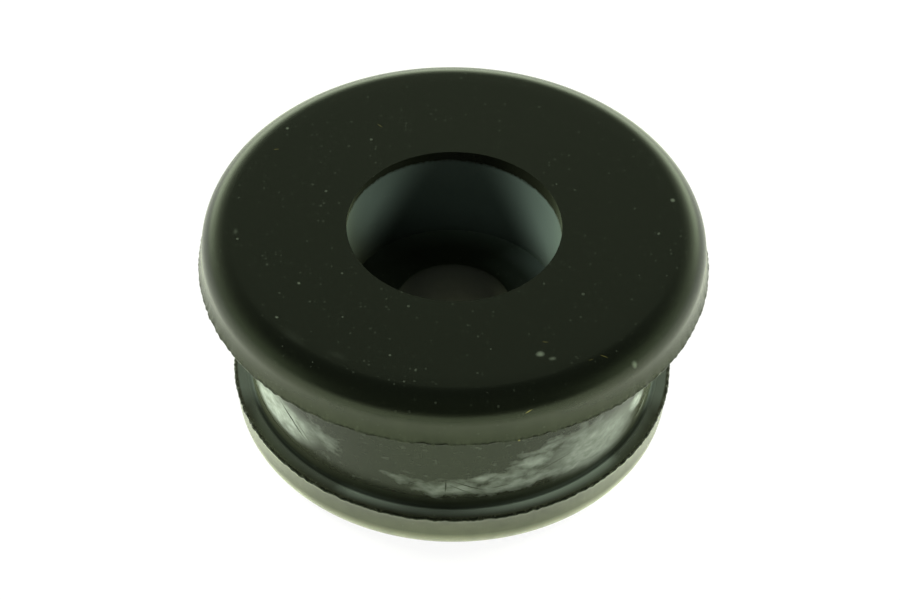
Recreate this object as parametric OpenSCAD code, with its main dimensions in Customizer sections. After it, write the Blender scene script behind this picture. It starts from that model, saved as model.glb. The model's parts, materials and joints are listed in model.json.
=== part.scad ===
// Moulded rubber grommet: a wide head flange, a neck that sits in a panel hole, and a narrower
// foot flange that is pushed through. A wide socket enters from the head and steps down to a
// narrower hole. Turned about +Z, standing on its foot, with the origin at the centre of the base.

/* [Head flange] */
// How far the head's side stands out past the neck
head_lip = 2.8; // [1:0.1:8]
// Thickness of the head
head_t = 3; // [2:0.1:8]
// Radius of the head's rounded upper edge
head_edge_r = 1.6; // [0.3:0.1:1.9]

/* [Foot flange] */
// How far the foot's side stands out past the neck
foot_lip = 0.85; // [0.4:0.05:4]
// Thickness of the foot
foot_t = 3.1; // [2:0.1:8]
// Radius of the foot's rounded lower edge
foot_edge_r = 1.65; // [0.3:0.05:2]

/* [Neck] */
// Diameter of the neck, which is the panel hole that it fills
neck_d = 24; // [18:0.1:40]
// Width of the groove between head and foot
groove_w = 8.2; // [1:0.1:20]
// Radius in the two inner corners of the groove
groove_fillet_r = 0.15; // [0.1:0.05:0.8]

/* [Bore] */
// Diameter of the socket below the head
socket_d = 12.6; // [9:0.1:15]
// Depth of the socket from the head's face to its shoulder
socket_depth = 6.4; // [3:0.1:12]
// Diameter of the narrower hole below the shoulder
throat_d = 6.8; // [3:0.1:8]

/* [Mould parting] */
// How far the parting lip stands out from each flange
parting_w = 0.2; // [0.05:0.05:0.4]
// Thickness of the parting lip where it leaves the flange
parting_t = 0.15; // [0.1:0.05:0.5]

/* [Hidden] */
$fn = 180;
neck_r = neck_d / 2;
head_r = neck_r + head_lip;
foot_r = neck_r + foot_lip;
head_z = foot_t + groove_w;
height = head_z + head_t;
overrun = 1;

// Half section of a flange that starts at z = 0 and is rounded along its outer top edge
module flange_section(r, t, edge_r) {
    square([r - edge_r, t]);
    square([r, t - edge_r]);
    translate([r - edge_r, t - edge_r])
        circle(edge_r);
}

// Thin lip left where the mould parts, thickest at the flange's side wall
module parting_section(r) {
    polygon([[r - parting_w, 0], [r + parting_w, 0], [r, parting_t], [r - parting_w, parting_t]]);
}

// Concave fillet that fills the corner between the neck and a flange face at z = 0
module fillet_section(r, fillet_r) {
    translate([r, 0])
        difference() {
            square(fillet_r);
            translate([fillet_r, fillet_r])
                circle(fillet_r);
        }
}

// Head with its parting lip, from z = 0 up
module head_section() {
    flange_section(head_r, head_t, head_edge_r);
    parting_section(head_r);
}

// Foot with its parting lip, from z = 0 down
module foot_section() {
    mirror([0, 1]) {
        flange_section(foot_r, foot_t, foot_edge_r);
        parting_section(foot_r);
    }
}

// Neck with a fillet against each flange
module neck_section() {
    square([neck_r, groove_w]);
    fillet_section(neck_r, groove_fillet_r);
    translate([0, groove_w])
        mirror([0, 1])
            fillet_section(neck_r, groove_fillet_r);
}

// Socket from the head's face down to its shoulder, and the hole through the rest
module bore_section() {
    translate([0, height - socket_depth])
        square([socket_d / 2, socket_depth + overrun]);
    translate([0, -overrun])
        square([throat_d / 2, height]);
}

module grommet() {
    color("#1c241e")
        rotate_extrude()
            difference() {
                union() {
                    translate([0, head_z])
                        head_section();
                    translate([0, foot_t]) {
                        neck_section();
                        foot_section();
                    }
                }
                bore_section();
            }
}

grommet();
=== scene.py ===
import json
import math
from functools import partial

import bpy
from mathutils import Matrix, Vector


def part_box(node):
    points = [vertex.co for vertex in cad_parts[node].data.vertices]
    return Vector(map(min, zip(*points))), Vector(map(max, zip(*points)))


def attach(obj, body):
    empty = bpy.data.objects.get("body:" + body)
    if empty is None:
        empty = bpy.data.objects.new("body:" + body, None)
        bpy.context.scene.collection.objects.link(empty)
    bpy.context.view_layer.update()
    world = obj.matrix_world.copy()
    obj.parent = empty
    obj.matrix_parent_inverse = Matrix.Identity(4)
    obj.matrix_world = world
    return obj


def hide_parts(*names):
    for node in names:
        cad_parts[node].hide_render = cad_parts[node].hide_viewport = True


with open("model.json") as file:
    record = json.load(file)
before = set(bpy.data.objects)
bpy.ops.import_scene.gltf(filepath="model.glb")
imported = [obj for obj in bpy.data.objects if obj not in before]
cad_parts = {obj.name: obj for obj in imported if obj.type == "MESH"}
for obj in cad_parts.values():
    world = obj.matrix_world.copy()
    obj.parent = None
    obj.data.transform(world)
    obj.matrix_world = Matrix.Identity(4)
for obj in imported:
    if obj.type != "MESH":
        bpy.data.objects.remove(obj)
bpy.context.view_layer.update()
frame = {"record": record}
mm = 0.001
mounts = {m["name"]: m for m in frame["record"]["mounts"]}
low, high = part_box("grommet")
noiseSpan = (0.3, 0.7)           # nearly all of a noise texture's values lie between these
print("frame loaded, grommet", round((high.x - low.x) / mm, 2), "mm across")


def hexColour(text):
    # sRGB hex to the linear colour that the shader sockets take
    parts = [int(text[i:i + 2], 16) / 255 for i in (1, 3, 5)]
    linear = [c / 12.92 if c <= 0.04045 else ((c + 0.055) / 1.055) ** 2.4 for c in parts]
    return (*linear, 1.0)


def addNode(tree, kind, links=None, out=0, **settings):
    # one node with its settings; each input, by name or number, gets a socket or a plain value,
    # and out picks the output that comes back (None: all of them)
    made = tree.nodes.new(kind)
    for name, value in settings.items():
        setattr(made, name, value)
    for key, value in (links or {}).items():
        if isinstance(value, bpy.types.NodeSocket):
            tree.links.new(value, made.inputs[key])
        else:
            made.inputs[key].default_value = value
    if out is None or not len(made.outputs):
        return made.outputs
    return made.outputs[out]


# the camera looks down on the near side of the head

camera = {
    "distance": 300 * mm,
    "elevation": 44.593,
    "roll": 0.91,
    "lens": 204.1,
    "aim": (-0.18 * mm, -1.56 * mm, 9.72 * mm),
    "clip": (0.01, 20),
}


def placeCamera():
    lens = bpy.data.cameras.new("camera")
    lens.lens = camera["lens"]
    lens.clip_start, lens.clip_end = camera["clip"]
    holder = bpy.data.objects.new("camera", lens)
    bpy.context.scene.collection.objects.link(holder)
    tilt = math.radians(camera["elevation"])
    back = Vector((0, -math.cos(tilt), math.sin(tilt)))
    turn = (-back).to_track_quat("-Z", "Y").to_matrix().to_4x4()
    spot = Matrix.Translation(Vector(camera["aim"]) + back * camera["distance"])
    holder.matrix_world = spot @ turn @ Matrix.Rotation(math.radians(camera["roll"]), 4, "Z")
    bpy.context.scene.camera = holder


placeCamera()
print("camera placed")


# half section of the moulding, without its torn edges

section = {
    "lipWidth": 0.2 * mm,        # parting lip beyond each flange's side
    "lipThickness": 0.08 * mm,
    "flareHeight": 0.9 * mm,     # the head's side leans out to its lip over this height
    "footRound": 0.12 * mm,      # the foot's upper face rolls over to its lip
    "headOverhang": 2.8 * mm,    # side of the head beyond the neck
    "headThickness": 3.0 * mm,
    "headEdge": 1.6 * mm,
    "footOverhang": 0.85 * mm,
    "footThickness": 3.1 * mm,
    "footEdge": 1.65 * mm,
    "footSteps": 14,             # points on the foot's lower rounding
    "headSteps": 20,             # points on the head's upper rounding
    "grooveFillet": 0.12 * mm,
    "throatEdge": 0.1 * mm,
    # the lips' points: out in lip widths, down from the foot's face in the same or up from
    # the head's face in lip thicknesses, then how ragged and how dusty
    "footLip": ((0.3, 2.5, 0.0, 0.5), (0.8, 1.2, 0.5, 0.5), (1.0, 0.7, 1.0, 0.35)),
    "headLip": ((0.6, 0.0, 0.4, 0.0), (0.95, 0.3, 1.0, 0.05), (1.0, 1.0, 1.0, 0.05),
                (0.87, 1.6, 0.9, 0.05), (0.7, 2.8, 0.6, 0.12)),
}

# what each point of the section carries: how torn it is, the socket's haze under its painted shade (below
# zero, the film on the foot's upper face), chalk and painted highlights, dust and painted light (below
# zero, the throat's dust) and a matt skin
markNames = ("ragged", "haze", "chalk", "dust", "matt")
grimeAndPaintedLight = {
    "footBase": 0.2,             # dust at the base, and how fast it thickens up the rounding: partly painted light from the bright floor below
    "footRise": 0.4,
    "footSide": 0.65,            # dust on the foot's side, and how fast it thickens down the rounding: partly painted light from the floor
    "footFall": 0.42,
    "footOuter": -0.55,          # film on the foot's upper face, at its outer and inner edge
    "footInner": -3.0,
    "corner": -0.4,
    "faceDust": 0.08,
    "neckDust": 0.075,
    "headDust": 0.14,            # dust on the head's side, and how fast it thins up the rounding
    "headFall": 0.02,
    "clearRim": (0.1, 0.3),      # no film to the first depth below the rim, all from the second, mm
    "shoulderHaze": ((0.0, 0.8), (0.3, 0.65)),         # mm in from the socket's wall, film
    "shoulderRest": (1.5, 0.12),
    "throatDustAndLight": ((0.5, 0.0), (2.2, -0.45)),          # mm below the shoulder, dust that grows downwards as painted light from below
    "throatRest": (3.3, -1.1),
}


def lineRun(start, end, steps):
    # points from start up to, but not at, end
    return [(start[0] + (end[0] - start[0]) * i / steps,
             start[1] + (end[1] - start[1]) * i / steps) for i in range(steps)]


def arcRun(centre, radius, fromDeg, toDeg, steps):
    turns = [math.radians(fromDeg + (toDeg - fromDeg) * i / steps) for i in range(steps)]
    return [(centre[0] + radius * math.cos(a), centre[1] + radius * math.sin(a)) for a in turns]


def bodySection():
    # closed loop, up the outside from the base and then down the bore; each point carries its marks
    s, g = section, grimeAndPaintedLight
    lip, lipT = s["lipWidth"], s["lipThickness"]
    headR = (high.x - low.x) / 2 - lip
    neckR = headR - s["headOverhang"]
    footR = neckR + s["footOverhang"]
    top, foot = high.z, low.z + s["footThickness"]
    head = top - s["headThickness"]
    socketR = mounts["socket"]["dims"]["r_mm"] * mm
    shoulder = top - mounts["socket"]["dims"]["length_mm"] * mm
    throatR = mounts["through_hole"]["dims"]["r_mm"] * mm
    fillet, roll, flareH = s["grooveFillet"], s["footRound"], s["flareHeight"]
    he, fe, te = s["headEdge"], s["footEdge"], s["throatEdge"]
    loop = []

    def add(points, ragged=0.0, haze=0.0, chalk=0.0, dust=0.0, matt=0.0):
        loop.extend((r, z, ragged, haze, chalk, dust, matt) for r, z in points)

    add(lineRun((throatR, low.z), (footR - fe, low.z), 5))
    # the foot's lower rounding: pale dust that also stands in for light from the bright floor below,
    # painted light
    for step, point in enumerate(arcRun((footR - fe, low.z + fe), fe, -90, 0, s["footSteps"])):
        rise = g["footBase"] + g["footRise"] * step
        fall = g["footSide"] + g["footFall"] * (s["footSteps"] - step)
        add([point], dust=min(rise, fall))        # thickest part of the way down, where the painted light from the floor is strongest
    add([(footR, low.z + fe)], dust=g["footSide"])
    for out, down, ragged, dust in s["footLip"]:
        add([(footR + lip * out, foot - lip * down)], ragged, dust=dust)
    add(arcRun((footR + lip - roll, foot - roll), roll, 0, 90, 3), ragged=0.8)
    add([(footR + lip - roll * 1.2, foot), (footR + lip * 0.2, foot)], ragged=0.2, dust=0.1)
    add([(footR - lip * 0.5, foot)], haze=g["footOuter"], dust=g["faceDust"])
    add([(neckR + fillet * 2.5, foot)], haze=g["footInner"], dust=g["faceDust"])

    # the neck, with its two corners
    add([(neckR + fillet * 1.2, foot)], haze=g["corner"], matt=1.0)
    add(arcRun((neckR + fillet, foot + fillet), fillet, 270, 180, 4), haze=g["corner"], matt=1.0)
    add([(neckR, foot + fillet * 2), (neckR, foot + fillet * 3)], chalk=0.7, dust=0.02, matt=0.8)
    add(lineRun((neckR, foot + fillet * 6), (neckR, head - fillet), 10), chalk=1.0, dust=g["neckDust"])
    add(arcRun((neckR + fillet, head - fillet), fillet, 180, 90, 4), chalk=0.5)

    # the head
    add(lineRun((neckR + fillet, head), (headR - lip * 0.4, head), 4))
    for out, up, ragged, dust in s["headLip"]:
        add([(headR + lip * out, head + lipT * up)], ragged, dust=dust)
    add([(headR + lip * 0.3, head + flareH * 0.55), (headR, head + flareH)], dust=g["headDust"])
    add([(headR, top - he * 1.05)], dust=g["headDust"])
    for step, point in enumerate(arcRun((headR - he, top - he), he, 0, 90, s["headSteps"])):
        add([point], dust=max(g["headDust"] - step * g["headFall"], 0.0))
    add(lineRun((headR - he, top), (socketR, top), 8))

    # the socket, its shoulder and the throat
    clean, hazed = g["clearRim"]
    add([(socketR, top), (socketR, top - clean * mm)])
    add(lineRun((socketR, top - hazed * mm), (socketR, shoulder), 14), haze=1.0)
    for inward, haze in g["shoulderHaze"]:
        add([(socketR - inward * mm, shoulder)], haze=haze, matt=1.0)
    inward, haze = g["shoulderRest"]
    add(lineRun((socketR - inward * mm, shoulder), (throatR + te, shoulder), 3), haze=haze, matt=1.0)
    add(arcRun((throatR + te, shoulder - te), te, 90, 180, 4), matt=1.0)
    add([(throatR, shoulder - te)], matt=1.0)
    # the throat: dust growing towards the bottom, painted light standing in for light from the floor below
    for down, dust in g["throatDustAndLight"]:
        add([(throatR, shoulder - down * mm)], matt=1.0, dust=dust)
    down, dust = g["throatRest"]
    add(lineRun((throatR, shoulder - down * mm), (throatR, low.z), 4), matt=1.0, dust=dust)
    return loop


# the section is turned by geometry nodes, which also tear the parting lips

lathe = {
    "segments": 800,
    "raggedDepth": 0.06 * mm,    # how far the torn parting lips come and go
    "raggedScale": 1.6,
    "tears": ((1.0, 0.3, 2.0), (9.0, 0.5, 3.0), (34.0, 1.2, 2.0)),     # how fine, how deep, detail
    "droopScale": 15.0,          # how fine the lips' rise and fall is, beside the ragged scale
    "droop": 1.3,                # how far they rise and fall, in ragged depths
    "waver": 0.04 * mm,          # soft out-of-round of the whole moulding
    "waverScale": 0.8,
    "seed": 3.0,
    "weld": 0.0004 * mm,         # closes the seam
    "sharpFrom": 38,             # degrees
}


def buildLatheTree(material):
    tree = bpy.data.node_groups.new("lathe with torn lips", "GeometryNodeTree")
    for name, kind in (("Section", "Geometry"), ("Segments", "Int"), ("Ragged depth", "Float"),
                       ("Ragged scale", "Float"), ("Waver", "Float"), ("Seed", "Float")):
        tree.interface.new_socket(name, in_out="INPUT", socket_type="NodeSocket" + kind)
    tree.interface.new_socket("Body", in_out="OUTPUT", socket_type="NodeSocketGeometry")
    put = partial(addNode, tree)
    given = put("NodeGroupInput", out=None)

    # a grid whose rows are the section's points and whose columns are the turns
    count = put("GeometryNodeAttributeDomainSize", {0: given["Section"]}, "Point Count")
    rows = put("ShaderNodeMath", {0: count, 1: 1}, operation="ADD")
    columns = put("ShaderNodeMath", {0: given["Segments"], 1: 1}, operation="ADD")
    grid = put("GeometryNodeMeshGrid", {"Vertices X": columns, "Vertices Y": rows}, "Mesh")
    index = put("GeometryNodeInputIndex")
    row = put("ShaderNodeMath", {0: index, 1: rows}, operation="MODULO")
    row = put("ShaderNodeMath", {0: row, 1: count}, operation="MODULO")
    column = put("ShaderNodeMath", {0: index, 1: rows}, operation="DIVIDE")
    column = put("ShaderNodeMath", {0: column}, operation="FLOOR")
    angle = put("ShaderNodeMath", {0: column, 1: given["Segments"]}, operation="DIVIDE")
    angle = put("ShaderNodeMath", {0: angle, 1: math.tau}, operation="MULTIPLY")
    position = put("GeometryNodeInputPosition")
    place = put("GeometryNodeSampleIndex", {"Geometry": given["Section"], "Value": position, "Index": row},
                data_type="FLOAT_VECTOR", domain="POINT")
    place = put("ShaderNodeSeparateXYZ", {0: place}, None)
    marks = {}
    for name in markNames:
        named = put("GeometryNodeInputNamedAttribute", {"Name": name}, "Attribute", data_type="FLOAT")
        marks[name] = put("GeometryNodeSampleIndex", {"Geometry": given["Section"], "Value": named,
                                                      "Index": row}, data_type="FLOAT", domain="POINT")
    cosine = put("ShaderNodeMath", {0: angle}, operation="COSINE")
    sine = put("ShaderNodeMath", {0: angle}, operation="SINE")
    around = put("ShaderNodeCombineXYZ", {0: cosine, 1: sine, 2: given["Seed"]})     # no seam

    # tears of three sizes, added up
    tear = None
    for finer, weight, detail in lathe["tears"]:
        scale = put("ShaderNodeMath", {0: given["Ragged scale"], 1: finer}, operation="MULTIPLY")
        wave = put("ShaderNodeTexNoise", {"Vector": around, "Scale": scale, "Detail": detail}, "Fac")
        wave = put("ShaderNodeMath", {0: wave, 1: 0.5}, operation="SUBTRACT")
        tear = put("ShaderNodeMath", {0: wave, 1: 2 * weight, 2: tear or 0.0}, operation="MULTIPLY_ADD")
    depth = put("ShaderNodeMath", {0: given["Ragged depth"], 1: marks["ragged"]}, operation="MULTIPLY")
    outward = put("ShaderNodeMath", {0: tear, 1: depth, 2: place[0]}, operation="MULTIPLY_ADD")
    wide = put("ShaderNodeTexNoise", {"Vector": around, "Scale": lathe["waverScale"],
                                      "Detail": 1.0}, "Fac")
    wide = put("ShaderNodeMath", {0: wide, 1: 0.5}, operation="SUBTRACT")
    radius = put("ShaderNodeMath", {0: wide, 1: given["Waver"], 2: outward}, operation="MULTIPLY_ADD")
    scale = put("ShaderNodeMath", {0: given["Ragged scale"], 1: lathe["droopScale"]},
                operation="MULTIPLY")
    droop = put("ShaderNodeTexNoise", {"Vector": around, "Scale": scale, "Detail": 3.0}, "Fac")
    least, most = noiseSpan
    droop = put("ShaderNodeMapRange", {"Value": droop, "From Min": least, "From Max": most,
                                       "To Min": -lathe["droop"], "To Max": lathe["droop"]})
    depth = put("ShaderNodeMath", {0: depth}, operation="ABSOLUTE")
    height = put("ShaderNodeMath", {0: droop, 1: depth, 2: place[2]}, operation="MULTIPLY_ADD")
    point = put("ShaderNodeCombineXYZ", {
        0: put("ShaderNodeMath", {0: radius, 1: cosine}, operation="MULTIPLY"),
        1: put("ShaderNodeMath", {0: radius, 1: sine}, operation="MULTIPLY"),
        2: height,
    })
    result = put("GeometryNodeSetPosition", {"Geometry": grid, "Position": point})
    for name, value in marks.items():
        result = put("GeometryNodeStoreNamedAttribute", {"Geometry": result, "Name": name, "Value": value},
                     data_type="FLOAT", domain="POINT")
    result = put("GeometryNodeMergeByDistance", {"Geometry": result, "Distance": lathe["weld"]})
    result = put("GeometryNodeSetShadeSmooth", {"Geometry": result})
    result = put("GeometryNodeRealizeInstances", {"Geometry": result})
    result = put("GeometryNodeSetMaterial", {"Geometry": result, "Material": material})
    put("NodeGroupOutput", {0: result})
    return tree


def runTree(holder, tree, values):
    # puts the tree on an object with its inputs set, and bakes the result to a plain mesh
    modifier = holder.modifiers.new("nodes", "NODES")
    modifier.node_group = tree
    for item in tree.interface.items_tree:
        if item.item_type == "SOCKET" and item.in_out == "INPUT" and item.name in values:
            modifier[item.identifier] = values[item.name]
    depsgraph = bpy.context.evaluated_depsgraph_get()
    depsgraph.update()
    mesh = bpy.data.meshes.new_from_object(holder.evaluated_get(depsgraph), depsgraph=depsgraph)
    mesh.name = holder.name
    holder.modifiers.clear()
    holder.data = mesh


def makeBody(material):
    loop = bodySection()
    mesh = bpy.data.meshes.new("section")
    mesh.from_pydata([(p[0], 0, p[1]) for p in loop], [(i, i + 1) for i in range(len(loop) - 1)], [])
    for column, name in enumerate(markNames, start=2):
        mesh.attributes.new(name, "FLOAT", "POINT").data.foreach_set("value", [p[column] for p in loop])
    body = bpy.data.objects.new("rubber_body", mesh)
    bpy.context.scene.collection.objects.link(body)
    runTree(body, buildLatheTree(material), {
        "Segments": lathe["segments"], "Ragged depth": lathe["raggedDepth"],
        "Ragged scale": lathe["raggedScale"], "Waver": lathe["waver"], "Seed": lathe["seed"],
    })
    body.data.set_sharp_from_angle(angle=math.radians(lathe["sharpFrom"]))
    return body


# natural rubber with carbon black, pressed in a hot mould: satin, faintly grained, with a pale bloom
# where nothing rubs it; some of the films below also carry painted shade, painted highlights and painted
# light

rubber = {
    "base": "#040504",
    "ior": 1.5,
    "tint": "#e7ffc8",
    "roughness": 0.27,
    "mattSkin": 0.4,             # roughness added where the mould never polished the skin
    "filmSkin": 1.6,             # and for each unit of haze or chalk on it
    "sheen": 0.28,
    "sheenRoughness": 0.3,
    "sheenColour": "#eaf6c8",
    "grain": 0.14,               # moulded grain, mm
    "grainDepth": 0.2,           # in grain widths
    "grainStrength": 0.12,
    "uneven": (1.7, 1.7, 1.1),   # how far the edges of broad marks wander, mm
    "slight": (0.25, 0.25, 0.25),        # and those of fine marks
    "wobbleScale": 0.8,          # these three are scales for each mm
    "blotchScale": 0.9,
    "tornScale": 4.0,
}
socketHazeAndShade = {                   # bluish haze on the socket's wall, with painted shade deeper down and on the left
    "colour": "#94a8a6",
    "share": 0.28,
    "starts": (0.68, 0.5),       # full from the first depth below the rim and none above the second, mm
    "startSlope": 0.04,          # lower to the right, mm for each mm
    "startTear": 0.3,            # and uneven, mm
    "fades": (5.8, 0.1),         # painted shade deeper in the socket: the haze is gone at the first depth below the rim and full at the second, mm
    "fadeAlong": (0.22, 0.5, 1.0),       # the way that the painted shade deepens, mostly down
    "across": (-6.0, 6.0),       # painted shade on the left, the less lit side, mm
    "leftShare": 0.47,
}
footFilmAndGlow = {                     # thin greyish film on the foot's upper face, with painted glow from the sides on
    "colour": "#8f9b94",
    "share": 0.1,
    "front": {"turn": -80, "size": (7, 10.5, 2)},
    "frontEdge": 0.75,
    "elsewhere": 0.25,           # share of the front's film that the rest has
    "sideFrom": (-4.4, -2.5),    # thicker again from the sides on, partly painted glow at the edges, mm
    "sideShare": 0.16,
}
dustAndLightFilm = {                     # dust, thickest low on the foot; there and down the throat it is also painted light from the floor below
    "colour": "#b3b598",
    "share": 0.32,
    "thinnest": 0.8,             # share of the full dust that its thin blotches have
    "throatAcross": (-3.4, 0.5),         # painted shade on the throat's left, mm
    "throatShare": (0.3, 1.0),
    "tears": (0.5, 0.62),        # where the lips' tears hold dust, and how much more
    "tearShare": 0.03,
}
chalkAndHighlightFilm = {                    # mould release left on the neck, with painted highlights on the neck's two sides
    "colour": "#ccd3d0",
    "share": 0.42,
    "streaks": (1.0, 1.0, 2.2),  # drawn out round the neck
    "cloudScale": 1.5,
    "cloud": 2.1,                # how much the clouds break up the patches
    "shows": (0.2, 2.0),         # none at the first sum of patch and cloud, all at the second
    "mottle": 2.2,               # how much the clouds break up the blooms and their painted highlights
    "patchEdge": 0.0,            # where patches, and blooms with their painted highlights, start to fade, from their middle outwards
    "bloomAndHighlightEdge": 0.3,
    "clear": (0.3, 0.75),        # nothing clings close to the foot, mm above it
    "clearSlope": 0.05,
}
# pale bloom that is partly a painted highlight on each side of the neck, and a thin painted highlight low
# on the neck
bloomsAndHighlights = [
    {"turn": -149, "height": 5.2, "size": (2, 5.3, 1.7), "tilt": 7, "strength": 0.95},
    {"turn": -44, "height": 5.0, "size": (2, 5.2, 2.1), "tilt": -3, "strength": 0.5},
    {"turn": -25, "height": 5.1, "size": (2, 1.5, 0.7), "tilt": -12, "strength": 0.8},
    {"turn": -20, "height": 3.75, "size": (2, 1.4, 0.08), "tilt": 15, "strength": 0.6},
]
chalkMarks = [
    {"turn": -130, "height": 6.0, "size": (2, 2.6, 1.2), "tilt": -6, "strength": 0.9},
    {"turn": -104, "height": 5.0, "size": (2, 1.6, 0.5), "tilt": -6, "strength": 0.8},
    {"turn": -93, "height": 4.6, "size": (2, 2.6, 1.0), "tilt": -2, "strength": 1.1},
    {"turn": -86, "height": 4.6, "size": (2, 2.2, 0.95), "strength": 1.2},
    {"turn": -80, "height": 5.5, "size": (2, 1.4, 0.5), "tilt": 6, "strength": 1.2},
    {"turn": -66, "height": 6.0, "size": (2, 2.0, 0.8), "tilt": 4, "strength": 1.4},
    {"turn": -62, "height": 6.8, "size": (2, 3.0, 0.7), "tilt": 4, "strength": 0.9},
    {"turn": -50, "height": 6.3, "size": (2, 3.0, 1.5), "strength": 1.0},
    {"turn": -70, "height": 4.5, "size": (2, 5.5, 0.8), "tilt": 2, "strength": 1.2},
    {"turn": -72, "height": 5.2, "size": (2, 3.6, 1.1), "tilt": 2, "strength": 0.9},
    {"turn": -52, "height": 4.3, "size": (2, 3.2, 0.8), "tilt": -2, "strength": 1.2},
    {"turn": -46, "height": 4.8, "size": (2, 3.0, 0.6), "tilt": 3, "strength": 0.9},
    {"turn": 25, "height": 7.5, "size": (2, 4.5, 2.2), "tilt": -10, "strength": 0.9},
    {"turn": 95, "height": 6.0, "size": (2, 5.0, 1.6), "tilt": 8, "strength": 0.9},
    {"turn": 150, "height": 8.0, "size": (2, 3.5, 2.0), "tilt": -5, "strength": 0.9},
]
scratches = [
    {"turn": -141, "height": 5.6, "size": (2, 1.9, 0.11), "tilt": -27},
    {"turn": -136, "height": 5.4, "size": (2, 1.3, 0.07), "tilt": -35, "strength": 0.6},
    {"turn": -91.2, "height": 4.8, "size": (2, 0.06, 0.65)},
    {"turn": -84.5, "height": 4.78, "size": (2, 1.2, 0.055), "tilt": -24},
    {"turn": -87.5, "height": 4.62, "size": (2, 0.9, 0.05), "tilt": -28, "strength": 0.8},
    {"turn": -76, "height": 4.55, "size": (2, 0.8, 0.05), "tilt": 8, "strength": 0.8},
    {"turn": -60, "height": 5.3, "size": (2, 1.6, 0.08), "tilt": 12, "strength": 0.7},
]
speckDust = {
    "colour": "#aab6a4",
    "fine": ((0.8, 0.1, 0.06), (1.9, 0.075, 0.03), (3.4, 0.075, 0.03)),    # for each mm, largest mm, share
    "empty": 0.38,               # share of the cells that have none
}
topSpots = [
    {"turn": -64.4, "reach": 11.6, "size": (0.32, 0.34, 0.4), "strength": 0.12},
    {"turn": -62.2, "reach": 12.2, "size": (0.22, 0.3, 0.4), "strength": 0.06},
    {"turn": -44.6, "reach": 14.55, "height": 13.35, "size": (0.4, 0.28, 0.34), "strength": 0.17},
    {"turn": -133.9, "reach": 13.06, "size": (0.5, 1.3, 0.4), "strength": 0.006},
    {"turn": -121.2, "reach": 12.64, "size": (0.4, 1.0, 0.4), "strength": 0.006},
    {"turn": -150.7, "reach": 10.22, "size": (0.12, 0.16, 0.4), "strength": 0.1},
    {"turn": -142.3, "reach": 12.8, "size": (0.12, 0.16, 0.4), "strength": 0.1},
    {"turn": -108.3, "reach": 11.31, "size": (0.12, 0.12, 0.4), "strength": 0.08},
    {"turn": -100, "reach": 12.09, "size": (0.16, 0.12, 0.4), "strength": 0.05},
    {"turn": 10.8, "reach": 13.05, "size": (0.2, 0.24, 0.4), "strength": 0.1},
    {"turn": -1.9, "reach": 11.9, "size": (0.14, 0.16, 0.4), "strength": 0.06},
    {"turn": 9.1, "reach": 10.7, "size": (0.14, 0.14, 0.4), "strength": 0.03},
    {"turn": 141.1, "reach": 12.9, "size": (0.14, 0.16, 0.4), "strength": 0.1},
    {"turn": 160, "reach": 8.05, "size": (0.14, 0.14, 0.4), "strength": 0.06},
    {"turn": 158.7, "reach": 9.0, "size": (0.14, 0.14, 0.4), "strength": 0.03},
    {"turn": 169.3, "reach": 8.0, "size": (0.14, 0.14, 0.4), "strength": 0.03},
    {"turn": -176.4, "reach": 12.8, "size": (0.2, 0.36, 0.4), "strength": 0.03},
    {"turn": -162, "reach": 11.35, "size": (0.14, 0.16, 0.4), "strength": 0.03},
]
lint = {"colour": "#b9ad62", "share": 0.3}
fibres = [
    {"turn": -72.6, "reach": 14.7, "height": 13.25, "size": (0.3, 0.04, 0.3), "tilt": -65},
    {"turn": -50.5, "reach": 13.6, "height": 14.2, "size": (0.28, 0.04, 0.4), "spin": 35, "strength": 0.2},
    {"turn": -61, "reach": 10.9, "size": (0.25, 0.035, 0.3), "spin": 60, "strength": 0.15},
    {"turn": -54, "reach": 13.4, "size": (0.2, 0.035, 0.3), "spin": 80, "strength": 0.12},
    {"turn": -75, "reach": 15.0, "height": 11.3, "size": (0.2, 0.1, 0.1)},
    {"turn": 118, "reach": 9.6, "size": (0.3, 0.03, 0.3), "spin": 20, "strength": 0.2},
    {"turn": 149.3, "reach": 12.3, "size": (0.25, 0.035, 0.3), "spin": 40, "strength": 0.2},
]


def markMask(put, position, mark, reach, height, edge=0.4):
    # 1 inside a small ellipsoid on the surface, fading to 0 at its edge: turn in degrees round the axis,
    # reach from the axis and height above the base, then its size outwards, along and up, all in mm
    turn = math.radians(mark["turn"])
    reach = mark.get("reach", reach)
    local = put("ShaderNodeMapping", {
        "Vector": position,
        "Location": (reach * math.cos(turn), reach * math.sin(turn), mark.get("height", height)),
        "Rotation": (math.radians(mark.get("tilt", 0)), 0, turn + math.radians(mark.get("spin", 0))),
        "Scale": mark["size"],
    }, vector_type="TEXTURE")
    away = put("ShaderNodeVectorMath", {0: local}, "Value", operation="LENGTH")
    return put("ShaderNodeMapRange", {"Value": away, "From Min": edge, "From Max": 1.0,
                                      "To Min": mark.get("strength", 1.0), "To Max": 0.0},
               interpolation_type="SMOOTHSTEP")


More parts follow.
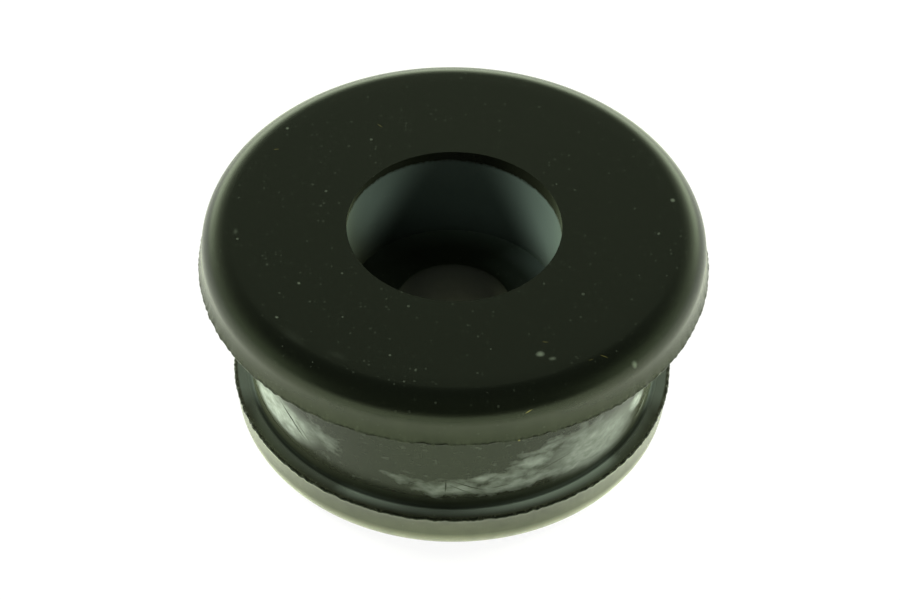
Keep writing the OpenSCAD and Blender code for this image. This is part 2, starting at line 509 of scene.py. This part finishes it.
def makeRubber():
    material = bpy.data.materials.new("compression moulded black rubber")
    material.use_nodes = True
    tree = material.node_tree
    tree.nodes.clear()
    put = partial(addNode, tree)
    where = put("ShaderNodeTexCoord", {}, "Object")
    place = put("ShaderNodeVectorMath", {0: where, "Scale": 1 / mm}, operation="SCALE")      # in mm
    x, y, z = list(put("ShaderNodeSeparateXYZ", {0: place}, None))[:3]
    topHeight = high.z / mm
    neckRadius = (high.x - section["lipWidth"] - section["headOverhang"]) / mm
    footHeight = section["footThickness"] / mm

    # a wobble that makes the drawn marks' edges uneven
    wobble = put("ShaderNodeTexNoise", {"Vector": place, "Scale": rubber["wobbleScale"],
                                        "Detail": 3.0}, "Color")
    wobble = put("ShaderNodeVectorMath", {0: wobble, 1: (0.5, 0.5, 0.5)}, operation="SUBTRACT")
    uneven = put("ShaderNodeVectorMath", {0: wobble, 1: rubber["uneven"], 2: place},
                 operation="MULTIPLY_ADD")
    slight = put("ShaderNodeVectorMath", {0: wobble, 1: rubber["slight"], 2: place},
                 operation="MULTIPLY_ADD")

    # the socket's haze starts below the rim; its fading with depth, sooner and thinner on the left, is
    # painted shade deeper in the socket and on its less lit side
    hazeMark = put("ShaderNodeAttribute", {}, "Fac", attribute_name="haze")
    inSocket = put("ShaderNodeMath", {0: hazeMark, 1: 0.0}, operation="MAXIMUM")
    onFoot = put("ShaderNodeMath", {0: hazeMark, 1: -1.0}, operation="MULTIPLY")
    onFoot = put("ShaderNodeMath", {0: onFoot, 1: 0.0}, operation="MAXIMUM")
    blotch = put("ShaderNodeTexNoise", {"Vector": place, "Scale": rubber["blotchScale"],
                                        "Detail": 3.0}, "Fac")
    torn = put("ShaderNodeTexNoise", {"Vector": place, "Scale": rubber["tornScale"], "Detail": 3.0}, "Fac")
    full, none = socketHazeAndShade["starts"]
    upper = put("ShaderNodeMath", {0: x, 1: socketHazeAndShade["startSlope"], 2: z}, operation="MULTIPLY_ADD")
    upper = put("ShaderNodeMath", {0: torn, 1: socketHazeAndShade["startTear"], 2: upper}, operation="MULTIPLY_ADD")
    upper = put("ShaderNodeMapRange", {"Value": upper, "From Min": topHeight - full,
                                       "From Max": topHeight - none, "To Min": 1.0, "To Max": 0.0})
    # painted shade: darker deeper in the socket
    none, full = socketHazeAndShade["fades"]
    depthShade = put("ShaderNodeVectorMath", {0: place, 1: socketHazeAndShade["fadeAlong"]}, "Value",
                operation="DOT_PRODUCT")
    depthShade = put("ShaderNodeMath", {0: depthShade, 1: blotch}, operation="ADD")
    depthShade = put("ShaderNodeMapRange", {"Value": depthShade, "From Min": topHeight - none,
                                       "From Max": topHeight - full}, interpolation_type="SMOOTHSTEP")
    # painted shade on the socket's left
    left, right = socketHazeAndShade["across"]
    leftShade = put("ShaderNodeMapRange", {"Value": x, "From Min": left, "From Max": right,
                                         "To Min": socketHazeAndShade["leftShare"]})
    for fade in (upper, depthShade, leftShade):
        inSocket = put("ShaderNodeMath", {0: inSocket, 1: fade}, operation="MULTIPLY")
    haze = put("ShaderNodeMath", {0: inSocket, 1: socketHazeAndShade["share"]}, operation="MULTIPLY")

    # the foot's upper face: a film in front, and more of it from the sides on, which is partly painted glow
    # at the edges
    inFront = markMask(put, uneven, footFilmAndGlow["front"], neckRadius, footHeight, footFilmAndGlow["frontEdge"])
    inFront = put("ShaderNodeMath", {0: inFront, 1: footFilmAndGlow["elsewhere"]}, operation="MAXIMUM")
    allRound = put("ShaderNodeMapRange", {"Value": onFoot, "From Max": 0.4})
    # painted glow: more film from the sides on
    none, full = footFilmAndGlow["sideFrom"]
    sideGlow = put("ShaderNodeMapRange", {"Value": y, "From Min": none, "From Max": full,
                                         "To Max": footFilmAndGlow["sideShare"]})
    sideGlow = put("ShaderNodeMath", {0: allRound, 1: sideGlow}, operation="MULTIPLY")
    onFoot = put("ShaderNodeMath", {0: onFoot, 1: inFront}, operation="MULTIPLY")
    onFoot = put("ShaderNodeMath", {0: onFoot, 1: footFilmAndGlow["share"]}, operation="MULTIPLY")
    onFoot = put("ShaderNodeMath", {0: onFoot, 1: sideGlow}, operation="MAXIMUM")

    # chalk: patches on the neck, broken up by streaks, with scratches through them; the blooms add painted
    # highlights
    chalk = 0.0
    for mark in chalkMarks:
        mask = markMask(put, uneven, mark, neckRadius, 0, chalkAndHighlightFilm["patchEdge"])
        chalk = put("ShaderNodeMath", {0: chalk, 1: mask}, operation="MAXIMUM")
    streaked = put("ShaderNodeMapping", {"Vector": slight, "Scale": chalkAndHighlightFilm["streaks"]})
    cloud = put("ShaderNodeTexNoise", {"Vector": streaked, "Scale": chalkAndHighlightFilm["cloudScale"], "Detail": 6.0,
                                       "Roughness": 0.58}, "Fac")
    cloud = put("ShaderNodeMath", {0: cloud, 1: 0.5}, operation="SUBTRACT")
    chalk = put("ShaderNodeMath", {0: cloud, 1: chalkAndHighlightFilm["cloud"], 2: chalk}, operation="MULTIPLY_ADD")
    faintest, thickest = chalkAndHighlightFilm["shows"]
    chalk = put("ShaderNodeMapRange", {"Value": chalk, "From Min": faintest, "From Max": thickest})
    # blooms: chalk with painted highlights
    for mark in bloomsAndHighlights:
        mask = markMask(put, slight, mark, neckRadius, 0, chalkAndHighlightFilm["bloomAndHighlightEdge"])
        mottled = put("ShaderNodeMath", {0: cloud, 1: chalkAndHighlightFilm["mottle"], 2: 1.0},
                      operation="MULTIPLY_ADD")
        mask = put("ShaderNodeMath", {0: mask, 1: mottled}, operation="MULTIPLY")
        chalk = put("ShaderNodeMath", {0: chalk, 1: mask}, operation="MAXIMUM")
    for mark in scratches:
        mask = markMask(put, slight, mark, neckRadius, 0)
        mask = put("ShaderNodeMath", {0: 1.0, 1: mask}, operation="SUBTRACT")
        chalk = put("ShaderNodeMath", {0: chalk, 1: mask}, operation="MULTIPLY")
    chalkAndHighlightZone = put("ShaderNodeAttribute", {}, "Fac", attribute_name="chalk")
    chalk = put("ShaderNodeMath", {0: chalk, 1: chalkAndHighlightFilm["share"]}, operation="MULTIPLY")
    none, full = chalkAndHighlightFilm["clear"]
    clear = put("ShaderNodeSeparateXYZ", {0: slight}, "Z")
    clear = put("ShaderNodeMath", {0: x, 1: chalkAndHighlightFilm["clearSlope"], 2: clear}, operation="MULTIPLY_ADD")
    clear = put("ShaderNodeMapRange", {"Value": clear, "From Min": footHeight + none,
                                       "From Max": footHeight + full})
    for part in (chalkAndHighlightZone, clear):
        chalk = put("ShaderNodeMath", {0: chalk, 1: part}, operation="MULTIPLY")

    # dust low on the foot, on the sides and in the throat, and a little more in the lips' tears; low on the
    # foot and down the throat it is also painted light from below, and it is thinner on the throat's left
    # as painted shade
    dust = put("ShaderNodeAttribute", {}, "Fac", attribute_name="dust")
    # painted shade: less throat dust on the left
    left, right = dustAndLightFilm["throatAcross"]
    least, most = dustAndLightFilm["throatShare"]
    inThroat = put("ShaderNodeMapRange", {"Value": x, "From Min": left, "From Max": right,
                                          "To Min": -least, "To Max": -most})
    inThroat = put("ShaderNodeMath", {0: dust, 1: inThroat}, operation="MULTIPLY")
    dust = put("ShaderNodeMath", {0: dust, 1: inThroat}, operation="MAXIMUM")
    least, most = noiseSpan
    cloudy = put("ShaderNodeMapRange", {"Value": blotch, "From Min": least, "From Max": most,
                                        "To Min": dustAndLightFilm["thinnest"]})
    dust = put("ShaderNodeMath", {0: dust, 1: cloudy}, operation="MULTIPLY")
    dust = put("ShaderNodeMath", {0: dust, 1: dustAndLightFilm["share"]}, operation="MULTIPLY")
    lipZone = put("ShaderNodeAttribute", {}, "Fac", attribute_name="ragged")
    none, full = dustAndLightFilm["tears"]
    tears = put("ShaderNodeMapRange", {"Value": torn, "From Min": none, "From Max": full,
                                       "To Max": dustAndLightFilm["tearShare"]})
    dust = put("ShaderNodeMath", {0: lipZone, 1: tears, 2: dust}, operation="MULTIPLY_ADD")

    # specks settled everywhere, and the larger ones and the fibres on the head
    speck = 0.0
    for scale, largest, brightest in speckDust["fine"]:
        cell = put("ShaderNodeTexVoronoi", {"Vector": place, "Scale": scale}, None)
        chance = put("ShaderNodeSeparateXYZ", {0: cell["Color"]}, None)
        size = put("ShaderNodeMapRange", {"Value": chance["X"], "From Min": speckDust["empty"],
                                          "To Max": largest * scale})
        inside = put("ShaderNodeMath", {0: cell["Distance"], 1: size}, operation="LESS_THAN")
        inside = put("ShaderNodeMath", {0: inside, 1: chance["Y"]}, operation="MULTIPLY")
        speck = put("ShaderNodeMath", {0: inside, 1: brightest, 2: speck}, operation="MULTIPLY_ADD")
    for mark in topSpots:
        mask = markMask(put, slight, mark, 0, topHeight, edge=0.0)
        speck = put("ShaderNodeMath", {0: speck, 1: mask}, operation="MAXIMUM")
    fibre = 0.0
    for mark in fibres:
        mask = markMask(put, slight, mark, 0, topHeight)
        fibre = put("ShaderNodeMath", {0: fibre, 1: mask}, operation="MAXIMUM")
    fibre = put("ShaderNodeMath", {0: fibre, 1: lint["share"]}, operation="MULTIPLY")

    # each layer is mixed over the last; inputs 6 and 7 and output 2 are the colour ones
    colour = hexColour(rubber["base"])
    for share, layer in ((haze, socketHazeAndShade), (onFoot, footFilmAndGlow), (dust, dustAndLightFilm), (chalk, chalkAndHighlightFilm),
                         (speck, speckDust), (fibre, lint)):
        colour = put("ShaderNodeMix", {0: share, 6: colour, 7: hexColour(layer["colour"])}, 2,
                     data_type="RGBA")
    film = put("ShaderNodeMath", {0: haze, 1: chalk}, operation="MAXIMUM")
    matt = put("ShaderNodeAttribute", {}, "Fac", attribute_name="matt")
    matt = put("ShaderNodeMath", {0: matt, 1: rubber["mattSkin"], 2: rubber["roughness"]},
               operation="MULTIPLY_ADD")
    rough = put("ShaderNodeMath", {0: film, 1: rubber["filmSkin"], 2: matt}, operation="MULTIPLY_ADD")
    grain = put("ShaderNodeTexNoise", {"Vector": place, "Scale": 1 / rubber["grain"], "Detail": 2.0}, "Fac")
    bump = put("ShaderNodeBump", {"Height": grain, "Strength": rubber["grainStrength"],
                                  "Distance": rubber["grain"] * rubber["grainDepth"] * mm})
    shader = put("ShaderNodeBsdfPrincipled", {
        "Base Color": colour, "Roughness": rough, "IOR": rubber["ior"], "Normal": bump,
        "Specular Tint": hexColour(rubber["tint"]),
        "Sheen Weight": rubber["sheen"], "Sheen Roughness": rubber["sheenRoughness"],
        "Sheen Tint": hexColour(rubber["sheenColour"]),
    })
    put("ShaderNodeOutputMaterial", {"Surface": shader})
    return material


body = makeBody(makeRubber())
print("body", len(body.data.vertices), "vertices,", len(body.data.polygons), "faces")
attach(body, "root")
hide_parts("grommet")


# white paper and soft light

studio = {
    "floorRadius": 2.5,
    "floorSides": 96,
    "floorDrop": 0.01 * mm,      # a hair under the base, so that the two faces stay apart
    "floor": "#fcfdf8",
    "whiteShare": 0.93,          # share of plain white that camera and mirror rays see in the floor
    "light": "#f7ffec",          # slightly green light through the diffusers
    "nearSky": 0.1,              # sky on the camera's side, and the rest of it
    "restOfSky": 0.05,
    "skyFrom": (-0.7, 0.3),      # where the one gives way to the other, from near to far
    # extra light low down, on all sides and beyond the object: the heights over which it fades out
    # and the depths over which it comes in, both along a direction of length 1, then its level
    "glows": ((0.1, 0.8, -0.75, -0.1, 0.85), (0.15, 0.5, 0.45, 0.92, 2.8)),
}
lamps = {
    "left softbox": {"spot": (-0.9, 0.32, 0.82), "size": 0.5, "power": 34},
    "right softbox": {"spot": (0.95, 0.28, 0.72), "size": 0.5, "power": 32.3},
    "front fill": {"spot": (0.1, -0.9, 1.1), "size": 0.6, "power": 2},
}


def makeFloor():
    bpy.ops.mesh.primitive_circle_add(vertices=studio["floorSides"], radius=studio["floorRadius"],
                                      fill_type="NGON")
    floor = bpy.context.object
    floor.name = "floor"
    floor.location.z = -studio["floorDrop"]
    material = bpy.data.materials.new("white paper sweep")
    material.use_nodes = True
    tree = material.node_tree
    tree.nodes.clear()
    put = partial(addNode, tree)
    path = put("ShaderNodeLightPath", {}, None)
    seen = put("ShaderNodeMath", {0: path["Is Camera Ray"], 1: path["Is Glossy Ray"]}, operation="MAXIMUM")
    seen = put("ShaderNodeMath", {0: seen, 1: path["Is Transmission Ray"]}, operation="MAXIMUM")
    share = put("ShaderNodeMath", {0: seen, 1: studio["whiteShare"]}, operation="MULTIPLY")
    paper = put("ShaderNodeBsdfDiffuse", {"Color": hexColour(studio["floor"])})
    glow = put("ShaderNodeEmission", {"Color": (1, 1, 1, 1), "Strength": 1.0})
    mixed = put("ShaderNodeMixShader", {0: share, 1: paper, 2: glow})
    put("ShaderNodeOutputMaterial", {"Surface": mixed})
    floor.data.materials.append(material)


def makeWorld():
    world = bpy.data.worlds.new("studio")
    bpy.context.scene.world = world
    world.use_nodes = True
    tree = world.node_tree
    tree.nodes.clear()
    put = partial(addNode, tree)
    direction = put("ShaderNodeSeparateXYZ", {0: put("ShaderNodeTexCoord", {}, "Generated")}, None)
    nearest, furthest = studio["skyFrom"]
    level = put("ShaderNodeMapRange", {
        "Value": direction["Y"], "From Min": nearest, "From Max": furthest,
        "To Min": studio["nearSky"], "To Max": studio["restOfSky"],
    }, interpolation_type="SMOOTHSTEP")
    for lowest, highest, nearest, furthest, extra in studio["glows"]:
        down = put("ShaderNodeMapRange", {
            "Value": direction["Z"], "From Min": lowest, "From Max": highest, "To Min": 1.0, "To Max": 0.0,
        }, interpolation_type="SMOOTHSTEP")
        away = put("ShaderNodeMapRange", {
            "Value": direction["Y"], "From Min": nearest, "From Max": furthest, "To Max": extra,
        }, interpolation_type="SMOOTHSTEP")
        level = put("ShaderNodeMath", {0: down, 1: away, 2: level}, operation="MULTIPLY_ADD")
    sky = put("ShaderNodeBackground", {"Color": hexColour(studio["light"]), "Strength": level})
    put("ShaderNodeOutputWorld", {"Surface": sky})


def makeLamp(name, given):
    light = bpy.data.lights.new(name, "AREA")
    light.shape = "DISK"
    light.size = given["size"]
    light.energy = given["power"]
    light.color = hexColour(studio["light"])[:3]
    lamp = bpy.data.objects.new(name, light)
    lamp.location = given["spot"]
    lamp.rotation_euler = (-Vector(given["spot"])).to_track_quat("-Z", "Y").to_euler()
    lamp.visible_glossy = False      # soft fill only, so that no lamp shape shows in the rubber
    bpy.context.scene.collection.objects.link(lamp)


makeFloor()
makeWorld()
for name, given in lamps.items():
    makeLamp(name, given)
bpy.context.scene.view_settings.view_transform = "Standard"
print("studio set")
